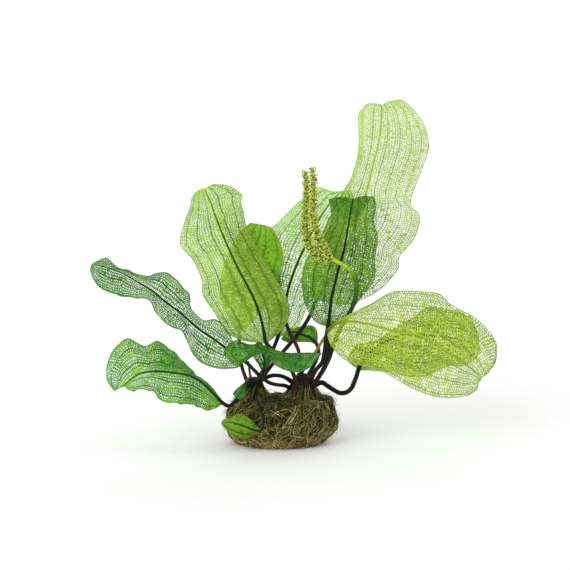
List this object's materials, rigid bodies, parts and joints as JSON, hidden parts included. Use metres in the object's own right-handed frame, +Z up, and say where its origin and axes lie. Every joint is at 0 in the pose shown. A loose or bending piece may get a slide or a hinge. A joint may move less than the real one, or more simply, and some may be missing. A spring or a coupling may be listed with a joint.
{
  "type": "madagascar lace plant",
  "caption": "Aquarium lace plant on a wad of roots, with long netted wavy leaves on thin stalks and a forked flower spike.",
  "frame": {"origin": "middle of the root wad's flat underside", "axes": "+X to the right as seen from the front, +Y away from the viewer, +Z up"},
  "size_m": [0.3192, 0.1407, 0.2692],
  "materials": {
    "tall_back_leaf": "fresh leaf, slightly waxy, netted",
    "folded_front_leaf": "fresh leaf, slightly waxy, netted",
    "centre_back_leaf": "fresh leaf, slightly waxy, netted",
    "broad_left_leaf": "fresh leaf, slightly waxy, netted",
    "upper_middle_leaf": "fresh leaf, slightly waxy, netted",
    "hidden_middle_leaf": "fresh leaf, slightly waxy, netted",
    "front_right_leaf": "fresh leaf, slightly waxy, netted",
    "rear_right_leaf": "fresh leaf, slightly waxy, netted",
    "long_left_leaf": "fresh leaf, slightly waxy, netted",
    "lower_left_leaf": "fresh leaf, slightly waxy, netted",
    "arching_front_leaf": "fresh leaf, slightly waxy, netted",
    "curled_back_leaf": "fresh leaf, slightly waxy, netted",
    "crown_leaflet": "fresh leaf, slightly waxy, netted",
    "small_low_leaf": "fresh leaf, slightly waxy, netted",
    "root_mat": "matted fibrous roots",
    "crown": "rough, dull",
    "flower_stalk": "smooth green stem",
    "flower_spike": "many small florets",
    "dried_leaf_stalk": "dry, dull",
    "young_leaf_spear": "smooth stem"
  },
  "bodies": {
    "root": {"tall_back_leaf": "tall_back_leaf", "folded_front_leaf": "folded_front_leaf", "centre_back_leaf": "centre_back_leaf", "broad_left_leaf": "broad_left_leaf", "upper_middle_leaf": "upper_middle_leaf", "hidden_middle_leaf": "hidden_middle_leaf", "front_right_leaf": "front_right_leaf", "rear_right_leaf": "rear_right_leaf", "long_left_leaf": "long_left_leaf", "lower_left_leaf": "lower_left_leaf", "arching_front_leaf": "arching_front_leaf", "curled_back_leaf": "curled_back_leaf", "crown_leaflet": "crown_leaflet", "small_low_leaf": "small_low_leaf", "root_mat": "root_mat", "left_crown": "crown", "right_crown": "crown", "flower_stalk": "flower_stalk", "left_flower_spike": "flower_spike", "right_flower_spike": "flower_spike", "dried_leaf_stalk": "dried_leaf_stalk", "young_leaf_spear": "young_leaf_spear"}
  },
  "joints": []
}
